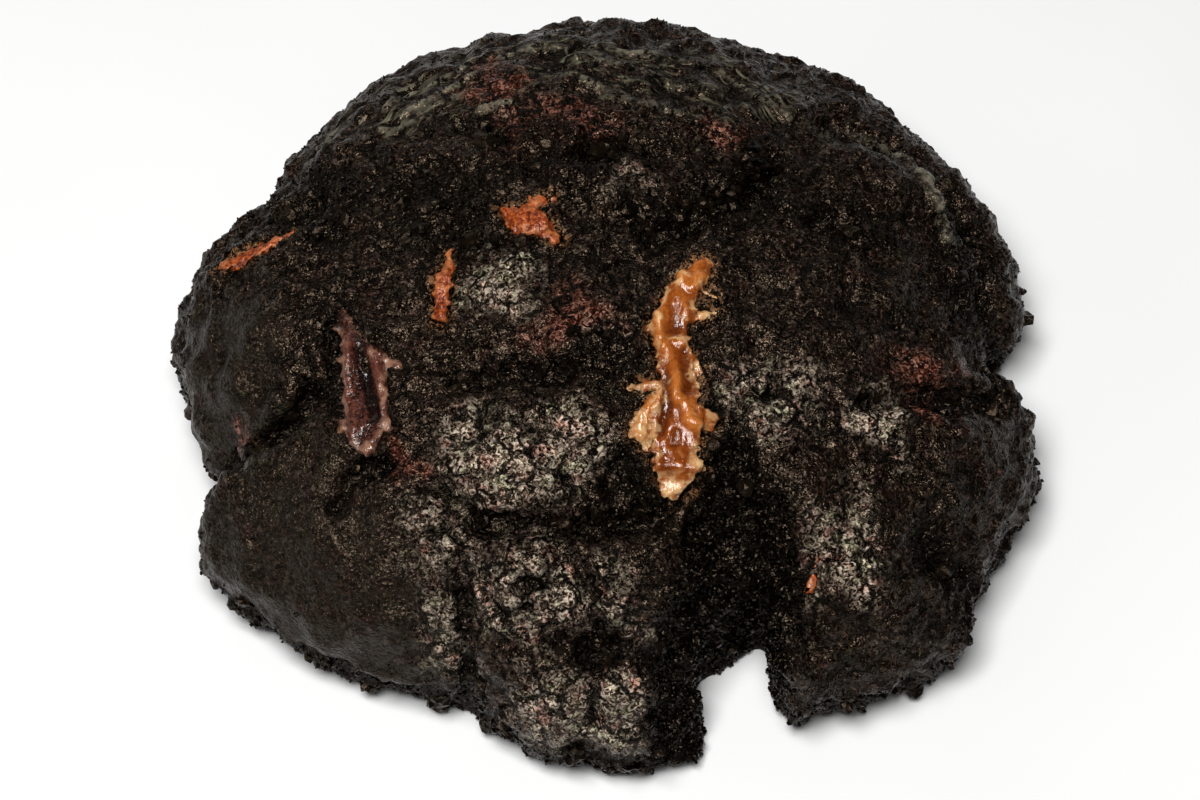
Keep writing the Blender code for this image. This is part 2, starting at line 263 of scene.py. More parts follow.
CHIP_STROKES = {
    "chip_long": (
        (
            (12.1, 0.9, 1.2),
            (10.1, -1.5, 2.1),
            (9.0, -3.5, 2.0),
            (8.2, -5.7, 2.2),
            (7.5, -7.3, 2.5),
            (7.8, -9.2, 2.4),
            (8.3, -11.7, 2.2),
            (8.9, -14.4, 2.2),
            (8.8, -17.0, 2.4),
            (8.6, -18.7, 3.0),
            (8.3, -21.0, 3.1),
            (8.3, -22.7, 2.7),
            (8.3, -24.7, 2.8),
            (8.1, -25.8, 2.0),
            (7.8, -27.5, 0.8),
        ),
        ((7.4, -14.9, 0.9), (4.8, -14.7, 0.7), (2.8, -15.2, 0.5)),
        ((6.8, -15.8, 0.8), (4.7, -18.6, 1.2), (4.2, -20.6, 1.4), (4.9, -22.2, 0.7)),
        ((9.6, -17.8, 1.3), (11.5, -18.8, 1.4), (12.9, -18.9, 0.8)),
        ((9.2, -7.0, 0.7), (11.3, -5.8, 0.5), (13.4, -5.3, 0.3)),
        ((10.3, -1.9, 0.6), (11.6, -2.5, 0.5), (13.0, -3.3, 0.35)),
        ((9.6, -22.8, 1.2), (11.6, -24.1, 0.5)),
        ((9.4, -10.6, 1.2), (10.8, -12.6, 0.9), (11.3, -15.8, 0.6)),
    ),
    "chip_back": (
        ((-12.5, 9.4, 0.5), (-11.1, 8.0, 1.4), (-9.6, 6.9, 2.0), (-7.9, 6.4, 1.9)),
        ((-9.4, 8.3, 1.2), (-7.9, 9.7, 1.1), (-6.2, 10.1, 0.6)),
        ((-7.9, 6.2, 1.4), (-6.9, 5.6, 1.2), (-5.4, 4.6, 0.7)),
    ),
    "chip_slim": (((-18.3, 4.2, 0.3), (-18.7, 1.3, 0.75), (-19.3, -1.6, 1.1), (-19.4, -5.4, 0.95)),),
    "chip_edge": (((-37.6, 10.3, 0.5), (-41.3, 8.9, 1.0), (-44.4, 8.0, 1.1), (-46.7, 7.6, 0.7)),),
    "chip_dark": (
        (
            (-31.2, -2.8, 0.7),
            (-30.2, -5.8, 1.4),
            (-29.1, -8.7, 2.3),
            (-28.4, -11.1, 2.8),
            (-28.2, -13.6, 2.9),
            (-28.1, -16.3, 2.9),
            (-28.0, -19.1, 2.5),
            (-27.9, -21.4, 1.1),
        ),
        ((-27.2, -8.6, 1.2), (-25.3, -10.3, 0.9), (-23.6, -11.8, 0.4)),
        ((-29.6, -16.6, 1.3), (-31.0, -18.2, 0.9)),
        ((-26.8, -17.2, 1.2), (-25.2, -18.7, 0.7)),
    ),
    "chip_front": (((24.8, -33.4, 0.3), (24.4, -35.0, 0.75), (23.7, -36.8, 0.6)),),
}
# Folds on the chips' melted tops: how far each stands out in mm, then x, y and half-width along it
CHIP_FOLDS = {
    "chip_long": (
        (-0.50, ((7.2, -14.4, 0.1), (7.2, -17.6, 0.2), (6.6, -20.8, 0.1))),
        (0.35, ((7.4, -10.4, 0.1), (8.3, -14.0, 0.2), (8.4, -17.0, 0.1))),
        (0.50, ((9.1, -17.0, 0.1), (9.8, -19.2, 0.25), (11.4, -20.2, 0.1))),
        (0.50, ((6.0, -16.4, 0.1), (4.7, -18.8, 0.5), (4.4, -21.0, 0.2))),
        (0.35, ((6.4, -8.9, 0.1), (9.2, -9.4, 0.1))),
        (0.45, ((6.2, -6.0, 0.1), (6.4, -9.5, 0.2))),
        (-0.40, ((9.5, -10.8, 0.1), (9.9, -15.5, 0.3))),
        (0.45, ((9.0, -0.4, 0.2), (10.2, -2.2, 0.4), (11.6, -1.0, 0.2))),
        (-0.30, ((8.2, -21.0, 0.3), (8.0, -21.8, 0.3))),
    ),
    "chip_dark": (
        (-0.50, ((-29.2, -8.2, 0.1), (-28.4, -11.1, 0.1), (-27.5, -15.0, 0.25), (-27.0, -17.6, 0.1))),
        (0.45, ((-27.6, -8.8, 0.1), (-26.4, -12.7, 0.2), (-25.8, -16.8, 0.1))),
        (0.40, ((-30.8, -7.0, 0.1), (-30.3, -13.0, 0.3), (-29.4, -18.5, 0.2))),
    ),
}
# Cream-coloured places where a chip is thin, some of them painted highlights on its folds: x, y, half-width
# and half-depth
CHIP_CREAM = {
    "chip_long": (
        (7.9, -26.9, 2.0, 1.5), (10.9, -23.4, 1.6, 1.6), (4.0, -20.6, 1.4, 3.0), (11.5, -11.9, 0.8, 1.6),
        (11.6, -15.4, 0.8, 1.4), (7.8, -9.2, 1.6, 0.35), (9.6, -1.2, 0.9, 0.8), (3.4, -15.0, 1.6, 0.8),
        (12.0, -5.6, 2.2, 0.8), (12.4, -2.9, 1.3, 0.8), (6.2, -6.6, 0.7, 1.2),
    ),
    "chip_back": ((-6.0, 5.0, 1.0, 0.7), (-8.6, 5.0, 0.8, 0.6)),
    "chip_slim": ((-18.3, 3.4, 0.8, 1.6),),
    "chip_dark": (
        (-27.9, -21.2, 1.3, 1.1), (-25.1, -10.3, 0.9, 1.1), (-31.0, -18.4, 1.1, 1.6),
        (-25.2, -18.2, 0.9, 1.6), (-31.6, -7.2, 0.6, 1.8), (-26.0, -14.6, 0.5, 1.6),
    ),
}
# The chips that have stained the crust beside them
MELTED_WIDE = ("chip_long", "chip_back", "chip_slim", "chip_edge")
# How far some chips lie lower than the rest, in mm
CHIP_SUNK = {"chip_dark": 0.08, "chip_front": 0.25, "chip_slim": -0.1}
CHIP_DEEP = 1.6  # mm that a chip's lumps reach under the crust
CHIP_PROUD = 0.10  # mm that they stand out of it
CHIP_BED = 0.9  # mm that the crust is lower under a chip
PLUG_GROWTH = 0.75  # mm that closes the gap round a chip's solid
LUMP_SIDES = 16
STEPS_PER_LEG = 5
HEIGHT_STEPS = 4  # how many steps each way a lump's height is evened over


# Crust


def crust_with_filled_pockets():
    """The CAD cookie and its chips grown a little, as one loose mesh for the remesh to join."""
    shape = bmesh.new()
    shape.from_mesh(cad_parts["cookie"].data)
    bmesh.ops.remove_doubles(shape, verts=shape.verts, dist=MERGE_REACH)
    for node in CHIP_STROKES:
        plug = bmesh.new()
        plug.from_mesh(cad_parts[node].data)
        bmesh.ops.remove_doubles(plug, verts=plug.verts, dist=MERGE_REACH)
        plug.normal_update()
        for vertex in plug.verts:
            reach = vertex.normal.copy()
            reach.z = min(reach.z, 0)
            vertex.co += reach * PLUG_GROWTH * MM
        mesh = bpy.data.meshes.new("plug")
        plug.to_mesh(mesh)
        plug.free()
        shape.from_mesh(mesh)
        bpy.data.meshes.remove(mesh)
    joined = bpy.data.meshes.new("crust_source")
    shape.to_mesh(joined)
    shape.free()
    return joined


def chip_away(plan, names=tuple(CHIP_STROKES)):
    """The distance from the outlines of these chips in mm, below zero inside them."""
    nearest = np.full(len(plan), 1e3)
    for name in names:
        for stroke in CHIP_STROKES[name]:
            nearest = np.minimum(nearest, stroke_away(plan, stroke))
    return nearest


def sunk_below(places, reach):
    """How far each place lies below the crust around it, in mm, judged over this many mm."""
    low = places[:, :2].min(axis=0) - 2 * reach * MM
    spot = (places[:, :2] - low) / MM
    heights = np.zeros(tuple((spot.max(axis=0) + 2 * reach + 2).astype(int)))
    near = np.rint(spot).astype(int)
    np.maximum.at(heights, (near[:, 0], near[:, 1]), places[:, 2] / MM)
    window = np.hanning(2 * reach + 3)[1:-1]
    window /= window.sum()
    for axis in (0, 1):
        heights = np.apply_along_axis(np.convolve, axis, heights, window, "same")
    cell = spot.astype(int)
    x, y = (spot - cell).T
    i, j = cell.T
    around = (heights[i, j] * (1 - x) + heights[i + 1, j] * x) * (1 - y)
    around += (heights[i, j + 1] * (1 - x) + heights[i + 1, j + 1] * x) * y
    return around - places[:, 2] / MM


def crust_fields(places):
    """What the crust is like at each place, by the names that its material reads."""
    plan = plan_mm(places)
    ragged = grain_noise(places, 3.0, 5.0) * 1.3
    from_middle = plan - np.array([-5.0, 0.0])
    ring = np.hypot(*from_middle.T) + ragged * 0.6
    sweep = np.arctan2(from_middle[:, 0], from_middle[:, 1]) * 30
    torn = np.zeros(len(plan))
    for stations in TORN:
        torn = np.maximum(torn, 1 - step(-0.9, 0.5, stroke_away(plan, stations) + ragged))
    shaken = plan + np.column_stack([grain_noise(places, 6.0, 20.0), grain_noise(places, 6.0, 40.0)]) * 5.0
    matte = spots(shaken, MATTE) * (1 - torn)
    # The low sides are counted as crumbly, so they get the dark crumb colour, a painted shade darker towards
    # the bottom.
    skirt = (1 - step(5.0, 10.0, places[:, 2] / MM + ragged * 2)) * (1 - matte)
    pocket = np.zeros(len(plan))
    uneven = 0.85 + 1.0 * grain_noise(places, 3.6, 15.0)
    for deep, stations in POCKETS:
        inside = 1 - step(-0.6, 0.9, stroke_away(plan, stations) + ragged * 0.8)
        pocket = np.maximum(pocket, inside * deep * uneven)
    shine = spots(shaken, GLISTEN)
    # Valleys lie below the crust around them; they are sunk deeper and painted dark as shade through the
    # crumbly and hollow fields.
    valley = step(0.35, 1.9, sunk_below(places, 6) + ragged * 0.4) * (1 - 0.5 * shine)
    crumbly_and_shaded = np.max([spots(shaken, CRUMBLY_AND_SHADED), skirt * 0.8, np.clip(pocket, 0, 1), 0.7 * valley], axis=0)
    fold = np.zeros(len(plan))
    for tall, stations in FOLDS:
        inside = 1 - step(-0.1, 0.45, stroke_away(plan, stations) + ragged * 0.2)
        fold = np.maximum(fold, inside * tall)
    open_crust = (1 - torn) * (1 - crumbly_and_shaded)
    reddish = spots(shaken, REDDISH) * (1 - torn)
    return {
        "torn": torn,
        "crumbly_and_shaded": crumbly_and_shaded * (1 - torn),
        "matte": matte * (1 - crumbly_and_shaded),
        "glisten": shine * open_crust * (1 - matte),
        "smooth": spots(shaken, SMOOTH) * open_crust,
        "streaks": spots(shaken, STREAKS) * (1 - torn) * (1 - 0.85 * reddish),
        "reddish": reddish,
        "pocket": pocket,
        "valley": valley,
        "fold": fold,
        "beside": 1 - step(0.0, 1.0, chip_away(plan, MELTED_WIDE) + ragged * 0.4),
        "ring": ring,
        "sweep": sweep,
    }


def crust_relief(places, fields):
    """How far the crust stands out at each place in mm, and how hollow it is from 0 to 1, which sets its
    painted shade.
    """
    torn, matte, glisten, crumbly_and_shaded = (fields[name] for name in ("torn", "matte", "glisten", "crumbly_and_shaded"))
    plan = plan_mm(places)
    streaks = fields["streaks"]
    even = np.max([matte, 0.8 * glisten, 0.8 * fields["smooth"], streaks], axis=0)
    loose_and_shaded = np.maximum(torn, crumbly_and_shaded)
    rough = (0.65 - 0.62 * even) * (1 - loose_and_shaded) + loose_and_shaded * (0.9 + 0.4 * torn)
    # Lumps, crumbs and specks, on broad waves
    lumps = np.abs(grain_noise(places, 2.2, 3.0)) - 0.22
    crumbs = (np.abs(grain_noise(places, 1.15, 7.0)) - 0.22) * 0.85
    specks = grain_noise(places, 0.8, 13.0) * 0.20
    rise = grain_noise(places, 5.5) * (0.75 - 0.35 * matte)
    rise += (np.abs(grain_noise(places, 3.6, 8.0)) - 0.22) * (0.9 - 0.7 * matte)
    rise += lumps * (0.12 + 0.80 * rough + 0.30 * glisten)
    rise += crumbs * (0.06 + 0.80 * rough)
    rise += specks * (0.10 + 0.90 * rough)
    rise += grain_noise(places, 1.9, 30.0) * (0.9 * torn + 0.35 * crumbly_and_shaded)
    # Grooves of the shiny crust, and cracks between its plates
    rise -= (1 - step(0.0, 0.12, np.abs(grain_noise(places, 2.8, 55.0)))) * 0.40 * glisten
    warp = np.column_stack([grain_noise(places, 3.5, k) for k in (50.0, 60.0, 70.0)])
    cracks = 1 - step(0.02, 0.17, cell_edges(places + warp * 1.6 * MM, 6.5, 2.0))
    cracks *= step(-0.15, 0.15, grain_noise(places, 6.0, 80.0))
    rise -= cracks * (0.35 + 0.50 * glisten) * (1 - loose_and_shaded) * (1 - 0.85 * matte)
    # Ridges drawn out along the arcs of the back plate
    drawn = np.column_stack([fields["ring"], fields["sweep"] * 0.15, places[:, 2] / MM * 0.3]) * MM
    rise += grain_noise(drawn, 1.5, 90.0) * 0.55 * np.maximum(streaks, 0.4 * fields["smooth"])
    # Painted shade: darker in the hollows of the relief, in pockets and valleys, and low down near the
    # table.
    low = 1 - step(1.0, 10.0, places[:, 2] / MM)
    pocket, valley = fields["pocket"], fields["valley"]
    hollow_shade = np.clip(0.26 - rise * 0.62 + np.clip(pocket, 0, 1) * 0.6 + 0.35 * low + 0.35 * valley, 0, 1)
    rise -= pocket
    rise += 0.8 * fields["fold"] - 0.5 * valley
    # A bed for each chip, with a low lip round it
    away = chip_away(plan)
    rise -= (1 - step(-0.4, 0.5, away)) * CHIP_BED
    rise += (1 - step(0.2, 0.9, np.abs(away - 0.5))) * (0.10 + 0.5 * np.abs(grain_noise(places, 1.0, 95.0)))
    return rise, hollow_shade


def make_crust(material):
    mesh = remeshed(crust_with_filled_pockets(), CRUST_VOXEL)
    places = places_of(mesh)
    normals = normals_of(mesh)
    fields = crust_fields(places)
    rise, hollow_shade = crust_relief(places, fields)
    lift = step(OFF_TABLE, 1.6 * MM, places[:, 2])
    moved = places + normals * (rise * MM * lift)[:, None]
    flat = (places[:, 2] < OFF_TABLE) & (normals[:, 2] < -0.5)
    moved[:, 2] = np.where(flat, 0, np.maximum(moved[:, 2], 2 * UNDERSIDE))
    set_places(mesh, moved)
    paint(mesh, "hollow_shade", hollow_shade)
    for name, values in fields.items():
        paint(mesh, name, values)
    # The flat underside needs few faces. Its points and edges are listed in the mesh's own order,
    # so that each run cuts it the same way.
    shape = bmesh.new()
    shape.from_mesh(mesh)
    under = [face for face in shape.faces if max(vertex.co.z for vertex in face.verts) < UNDERSIDE]
    verts = list(dict.fromkeys(vertex for face in under for vertex in face.verts))
    edges = list(dict.fromkeys(edge for face in under for edge in face.edges))
    bmesh.ops.dissolve_limit(shape, angle_limit=0.02, verts=verts, edges=edges)
    bmesh.ops.triangulate(shape, faces=[face for face in shape.faces if len(face.verts) > 4])
    shape.to_mesh(mesh)
    shape.free()
    return make_piece("crust", mesh, material, ("cookie",))


# Chips


def along(stations):
    """Points read from a smooth curve through the stations."""
    found = []
    last = len(stations) - 1
    for leg in range(last):
        before, here = stations[max(0, leg - 1)], stations[leg]
        there, after = stations[leg + 1], stations[min(last, leg + 2)]
        for part in range(STEPS_PER_LEG):
            t = part / STEPS_PER_LEG
            point = []
            for a, b, c, d in zip(before, here, there, after):
                bend, twist = 2 * a - 5 * b + 4 * c - d, 3 * b - a - 3 * c + d
                point.append(0.5 * (2 * b + (c - a) * t + bend * t**2 + twist * t**3))
            found.append(tuple(point))
    found.append(tuple(stations[last]))
    return found


def on_crust(crust_tree, x, y):
    """The place and normal straight below a plan place."""
    above = Vector(((x + PLAN_SHIFT.x) * MM, (y + PLAN_SHIFT.y) * MM, 0.1))
    return crust_tree.ray_cast(above, Vector((0, 0, -1)))[:2]


def add_stroke(shape, crust_tree, stroke):
    """Adds one closed tapering lump that follows the crust."""
    found = [(*on_crust(crust_tree, x, y), wide) for x, y, wide in along(stroke)]
    up = sum((normal for _, normal, _ in found), Vector()).normalized()
    heights = [place.z for place, _, _ in found]
    for index, (place, _, _) in enumerate(found):
        near = heights[max(0, index - HEIGHT_STEPS) : index + HEIGHT_STEPS + 1]
        place.z = sum(near) / len(near)
    chord = found[-1][0] - found[0][0]
    ahead = (chord - up * chord.dot(up)).normalized()
    across = up.cross(ahead)
    rings = []
    for place, _, wide in found:
        deep = min(CHIP_DEEP, 0.3 + wide * 0.8)
        ring = []
        for side in range(LUMP_SIDES):
            angle = 2 * math.pi * side / LUMP_SIDES
            tall = CHIP_PROUD if math.sin(angle) > 0 else deep
            reach = across * math.cos(angle) * wide + up * math.sin(angle) * tall
            ring.append(shape.verts.new(place + reach * MM))
        rings.append(ring)
    for first, second in zip(rings, rings[1:]):
        for side in range(LUMP_SIDES):
            following = (side + 1) % LUMP_SIDES
            shape.faces.new((first[side], first[following], second[following], second[side]))
    for ring, way, wide in ((rings[0], -ahead, found[0][2]), (rings[-1], ahead, found[-1][2])):
        middle = sum((vertex.co for vertex in ring), Vector()) / LUMP_SIDES
        tip = shape.verts.new(middle + way * 0.8 * wide * MM)
        for side in range(LUMP_SIDES):
            shape.faces.new((ring[side], ring[(side + 1) % LUMP_SIDES], tip))


def make_chip(node, crust_tree, material, wave):
    """A melted chip in the place of its solid, with soft ridges of this height in mm."""
    shape = bmesh.new()
    for stroke in CHIP_STROKES[node]:
        add_stroke(shape, crust_tree, stroke)
    bmesh.ops.recalc_face_normals(shape, faces=shape.faces)
    mesh = bpy.data.meshes.new(node + "_lumps")
    shape.to_mesh(mesh)
    shape.free()
    mesh = remeshed(mesh, CHIP_VOXEL)
    places, normals = places_of(mesh), normals_of(mesh)
    plan = plan_mm(places)
    inside = chip_away(plan, (node,))
    edge = step(-0.9, 0.1, inside + grain_noise(places, 0.9, 14.0) * 0.5)
    pale = step(-1.5, -0.4, inside + grain_noise(places, 1.4, 16.0) * 1.1)
    # The melted top is drawn out along the chip in soft ridges, and its edge is torn.
    shaken = plan + np.column_stack([grain_noise(places, 1.1, 61.0), grain_noise(places, 1.1, 66.0)]) * 1.2
    cream = spots(shaken, CHIP_CREAM.get(node, ()))
    stretched = places * np.array([1.0, 0.35, 0.35])
    ridges = grain_noise(stretched, 1.4, 21.0) * wave + grain_noise(places, 2.6, 27.0) * 0.5 * wave
    for stands, stations in CHIP_FOLDS.get(node, ()):
        ridges = ridges + (1 - step(0.0, 0.9, stroke_away(plan, stations))) * stands
    upward = np.clip(normals[:, 2], 0, 1)
    sideways = normals * np.array([1, 1, 0])
    teeth = np.abs(grain_noise(places, 1.3, 33.0)) * 1.7 - 0.40 + grain_noise(places, 0.6, 37.0) * 0.6
    moved = places + normals * (ridges * upward * (1 - 0.5 * edge) * MM)[:, None]
    moved += sideways * (teeth * edge * MM)[:, None]
    moved[:, 2] += ((grain_noise(places, 0.8, 44.0) * 0.45 - 0.30) * edge - CHIP_SUNK.get(node, 0)) * MM
    set_places(mesh, moved)
    paint(mesh, "edge", edge)
    paint(mesh, "pale", pale)
    paint(mesh, "cream", cream)
    # Painted light and shade: the chip's colour is paler on raised folds and darker in grooves.
    paint(mesh, "ridge_shading", np.clip(0.5 + ridges * 1.1, 0, 1))
    return make_piece(node + "_melted", mesh, material, (node,))


# Loose grains


def make_grains(name, crust, material, density, seed, count, sizes, bury, facets):
    """Angular crumbs on the crust, more of them where density is high, as one mesh."""
    draw = np.random.default_rng(seed)
    mesh = crust.data
    mesh.calc_loop_triangles()
    corners = np.empty(len(mesh.loop_triangles) * 3, dtype=np.int32)
    mesh.loop_triangles.foreach_get("vertices", corners)
    corners = corners.reshape(-1, 3)
    places, normals = places_of(mesh), normals_of(mesh)
    a, b, c = (places[corners[:, k]] for k in range(3))
    area = np.linalg.norm(np.cross(b - a, c - a), axis=1)
    chance = area * density[corners].mean(axis=1)
    chosen = draw.choice(len(corners), size=count, p=chance / chance.sum())
    mix = draw.dirichlet((1, 1, 1), size=count)
    feet = (places[corners[chosen]] * mix[:, :, None]).sum(axis=1)
    ways = (normals[corners[chosen]] * mix[:, :, None]).sum(axis=1)
    ways /= np.linalg.norm(ways, axis=1)[:, None]
    ball = bmesh.new()
    if facets:
        bmesh.ops.create_icosphere(ball, subdivisions=facets, radius=1.0)
    else:
        bmesh.ops.create_uvsphere(ball, u_segments=4, v_segments=2, radius=1.0)
    ball.verts.ensure_lookup_table()
    ball_points = np.array([vertex.co for vertex in ball.verts])
    ball_faces = np.array([[vertex.index for vertex in face.verts] for face in ball.faces])
    ball.free()
    size = draw.uniform(0, 1, count) ** 2 * (sizes[1] - sizes[0]) + sizes[0]
    jitter = draw.uniform(0.62, 1.25, (count, len(ball_points)))
    stretch = draw.uniform(0.6, 1.3, (count, 3))
    axes = draw.normal(size=(count, 3, 3))
    turn = np.linalg.qr(axes)[0]
    turn *= np.sign(np.linalg.det(turn))[:, None, None]
    points = ball_points[None] * jitter[:, :, None] * stretch[:, None, :]
    points = np.einsum("nij,nvj->nvi", turn, points) * (size * MM / 2)[:, None, None]
    middles = feet + ways * (size * MM / 2 * (1 - 2 * bury))[:, None]
    points += middles[:, None, :]
    points[:, :, 2] = np.maximum(points[:, :, 2], 0.02 * MM)
    faces = ball_faces[None] + (np.arange(count) * len(ball_points))[:, None, None]
    grains = bpy.data.meshes.new(name)
    grains.from_pydata(points.reshape(-1, 3).tolist(), [], faces.reshape(-1, ball_faces.shape[1]).tolist())
    grains.update()
    paint(grains, "shade", np.repeat(draw.uniform(0, 1, count), len(ball_points)))
    piece = make_piece(name, grains, material, ())
    grains.polygons.foreach_set("use_smooth", [False] * len(grains.polygons))
    return piece


# Materials


class Nodes:
    """A few words for building a material's nodes."""

    def __init__(self, name):
        self.material = bpy.data.materials.new(name)
        self.material.use_nodes = True
        self.tree = self.material.node_tree
        self.shader = self.tree.nodes["Principled BSDF"]
        coordinates = self.tree.nodes.new("ShaderNodeTexCoord")
        mapping = self.tree.nodes.new("ShaderNodeMapping")
        mapping.inputs["Scale"].default_value = (1000, 1000, 1000)
        self.tree.links.new(coordinates.outputs["Object"], mapping.inputs["Vector"])
        self.millimetres = mapping.outputs["Vector"]

    def link(self, source, target):
        self.tree.links.new(source, target)

    def stretched(self, scale, turn=0.0):
        mapping = self.tree.nodes.new("ShaderNodeMapping")
        mapping.inputs["Scale"].default_value = scale
        mapping.inputs["Rotation"].default_value = (0, 0, turn)
        self.link(self.millimetres, mapping.inputs["Vector"])
        return mapping.outputs["Vector"]

    def arcs(self, along):
        """Places counted out from the cookie's middle and round it, drawn out along the arcs."""
        joined = self.tree.nodes.new("ShaderNodeCombineXYZ")
        self.link(self.painted("ring"), joined.inputs["X"])
        self.link(self.math("MULTIPLY", self.painted("sweep"), along), joined.inputs["Y"])
        return joined.outputs["Vector"]

    def noise(self, size, detail=4.0, roughness=0.6, distortion=0.0, vector=None):
        """Noise with features of this size in mm."""
        node = self.tree.nodes.new("ShaderNodeTexNoise")
        node.inputs["Scale"].default_value = 1 / size
        node.inputs["Detail"].default_value = detail
        node.inputs["Roughness"].default_value = roughness
        node.inputs["Distortion"].default_value = distortion
        self.link(vector or self.millimetres, node.inputs["Vector"])
        return node.outputs["Fac"]

    def cells(self, size, vector):
        node = self.tree.nodes.new("ShaderNodeTexVoronoi")
        node.inputs["Scale"].default_value = 1 / size
        self.link(vector, node.inputs["Vector"])
        return node.outputs["Distance"]

    def crack_lines(self, size, warp):
        """How far it is to the nearest of some wavering lines, by the size of their mesh in mm."""
        shift = self.tree.nodes.new("ShaderNodeTexNoise")
        shift.inputs["Scale"].default_value = 1 / warp
        shift.inputs["Detail"].default_value = 3
        self.link(self.millimetres, shift.inputs["Vector"])
        moved = self.tree.nodes.new("ShaderNodeVectorMath")
        moved.operation = "MULTIPLY_ADD"
        moved.inputs[1].default_value = (1.6, 1.6, 1.6)
        self.link(shift.outputs["Color"], moved.inputs[0])
        self.link(self.millimetres, moved.inputs[2])
        node = self.tree.nodes.new("ShaderNodeTexVoronoi")
        node.feature = "DISTANCE_TO_EDGE"
        node.inputs["Scale"].default_value = 1 / size
        self.link(moved.outputs["Vector"], node.inputs["Vector"])
        return node.outputs["Distance"]

    def painted(self, name):
        node = self.tree.nodes.new("ShaderNodeAttribute")
        node.attribute_name = name
        return node.outputs["Fac"]

    def spread(self, value, low, high, out_low=0.0, out_high=1.0):
        node = self.tree.nodes.new("ShaderNodeMapRange")
        node.inputs["From Min"].default_value = low
        node.inputs["From Max"].default_value = high
        node.inputs["To Min"].default_value = out_low
        node.inputs["To Max"].default_value = out_high
        self.link(value, node.inputs["Value"])
        return node.outputs["Result"]

    def math(self, operation, first, second):
        node = self.tree.nodes.new("ShaderNodeMath")
        node.operation = operation
        for socket, value in zip(node.inputs, (first, second)):
            if isinstance(value, (int, float)):
                socket.default_value = value
            else:
                self.link(value, socket)
        return node.outputs["Value"]

    def added(self, first, second):
        node = self.tree.nodes.new("ShaderNodeVectorMath")
        node.operation = "ADD"
        self.link(first, node.inputs[0])
        self.link(second, node.inputs[1])
        return node.outputs["Vector"]

    def ramp(self, value, *stops):
        node = self.tree.nodes.new("ShaderNodeValToRGB")
        elements = node.color_ramp.elements
        while len(elements) < len(stops):
            elements.new(0.5)
        for element, (position, colour) in zip(elements, stops):
            element.position = position
            element.color = (*colour, 1)
        self.link(value, node.inputs["Fac"])
        return node.outputs["Color"]

    def blend(self, share, first, second, how="MIX"):
        node = self.tree.nodes.new("ShaderNodeMix")
        node.data_type = "RGBA"
        node.blend_type = how
        if isinstance(share, (int, float)):
            node.inputs["Factor"].default_value = share
        else:
            self.link(share, node.inputs["Factor"])
        for socket, value in ((node.inputs["A"], first), (node.inputs["B"], second)):
            if isinstance(value, tuple):
                socket.default_value = (*value, 1)
            else:
                self.link(value, socket)
        return node.outputs["Result"]

    def bump(self, height, distance, strength=1.0, before=None):
        node = self.tree.nodes.new("ShaderNodeBump")
        node.inputs["Distance"].default_value = distance * MM
        if isinstance(strength, (int, float)):
            node.inputs["Strength"].default_value = strength
        else:
            self.link(strength, node.inputs["Strength"])
        self.link(height, node.inputs["Height"])
        if before:
            self.link(before, node.inputs["Normal"])
        return node.outputs["Normal"]


WARM_SHINE = (1.0, 0.76, 0.56, 1)
# Painted shade: the near black of pits and cracks, then of hollows in the crust.
PAINTED_PIT_SHADE = (0.0008, 0.0006, 0.0004)
PAINTED_HOLLOW_SHADE = (0.0008, 0.0006, 0.0005)


